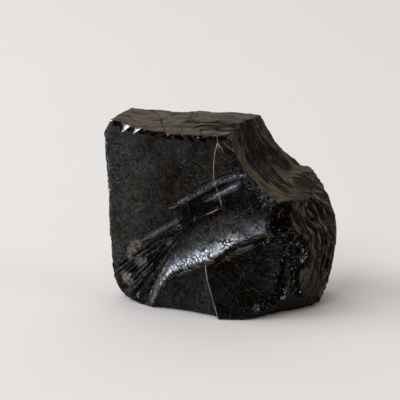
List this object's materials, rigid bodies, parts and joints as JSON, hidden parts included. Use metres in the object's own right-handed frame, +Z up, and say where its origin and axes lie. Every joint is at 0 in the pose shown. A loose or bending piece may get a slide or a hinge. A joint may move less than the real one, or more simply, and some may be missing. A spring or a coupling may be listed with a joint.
{
  "type": "shungite specimen",
  "caption": "Broken hand specimen of glassy black shungite, with a large conchoidal front, a dull top and scooped shoulder, resting on a flat foot.",
  "frame": {"origin": "centre of the bounding box's footprint, on the surface the specimen rests on", "axes": "+X along the specimen's width, to the right when facing the glossy break; -Y out of the glossy break; +Z up"},
  "size_m": [0.0782, 0.047, 0.0621],
  "materials": {
    "shungite": "glassy on the conchoidal breaks, dull on the top and the shoulder"
  },
  "bodies": {
    "root": {"shungite_stone": "shungite"}
  },
  "joints": []
}
